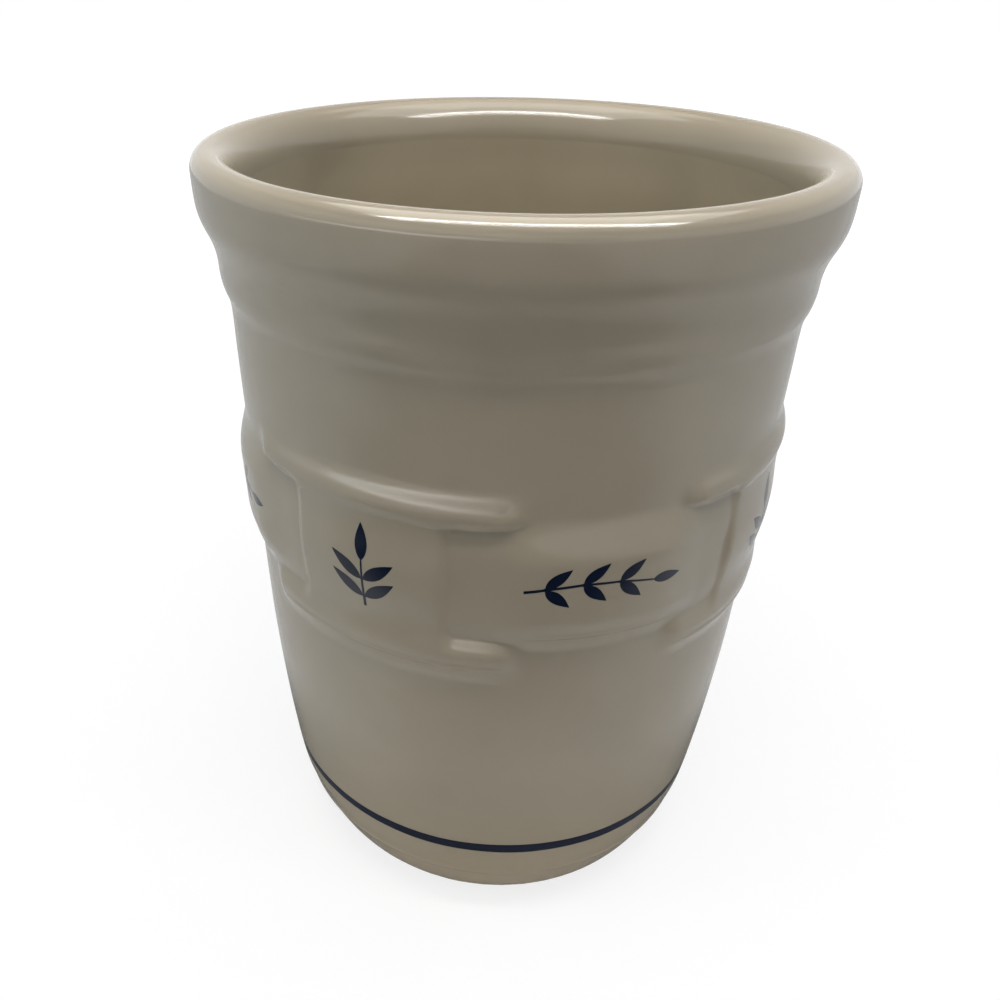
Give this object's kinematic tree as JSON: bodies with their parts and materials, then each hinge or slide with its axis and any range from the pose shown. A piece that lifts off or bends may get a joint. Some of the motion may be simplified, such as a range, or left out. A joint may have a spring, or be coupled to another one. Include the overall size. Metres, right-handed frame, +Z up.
{
  "type": "stoneware crock",
  "caption": "Footed stoneware crock with a flared rim, woven basket relief band, ivory glaze, navy base stripe and painted leaf sprays.",
  "frame": {"origin": "middle of the foot ring's underside, on the floor", "axes": "+Z up the crock's axis; the picture's front faces -Y"},
  "size_m": [0.1406, 0.1406, 0.18],
  "materials": {
    "stoneware": "bare fired stoneware, matt",
    "ivory_glaze": "warm ivory gloss glaze",
    "liner_glaze": "warm ivory gloss glaze, a little more olive",
    "navy_paint": "navy underglaze colour under gloss glaze"
  },
  "bodies": {
    "root": {"stoneware_body": "stoneware", "outer_glaze_coat": "ivory_glaze", "liner_glaze_coat": "liner_glaze", "base_stripe": "navy_paint", "painted_sprig_1": "navy_paint", "painted_sprig_2": "navy_paint", "painted_sprig_3": "navy_paint", "painted_sprig_4": "navy_paint", "painted_branch_1": "navy_paint", "painted_branch_2": "navy_paint", "painted_branch_3": "navy_paint", "painted_branch_4": "navy_paint"}
  },
  "joints": []
}
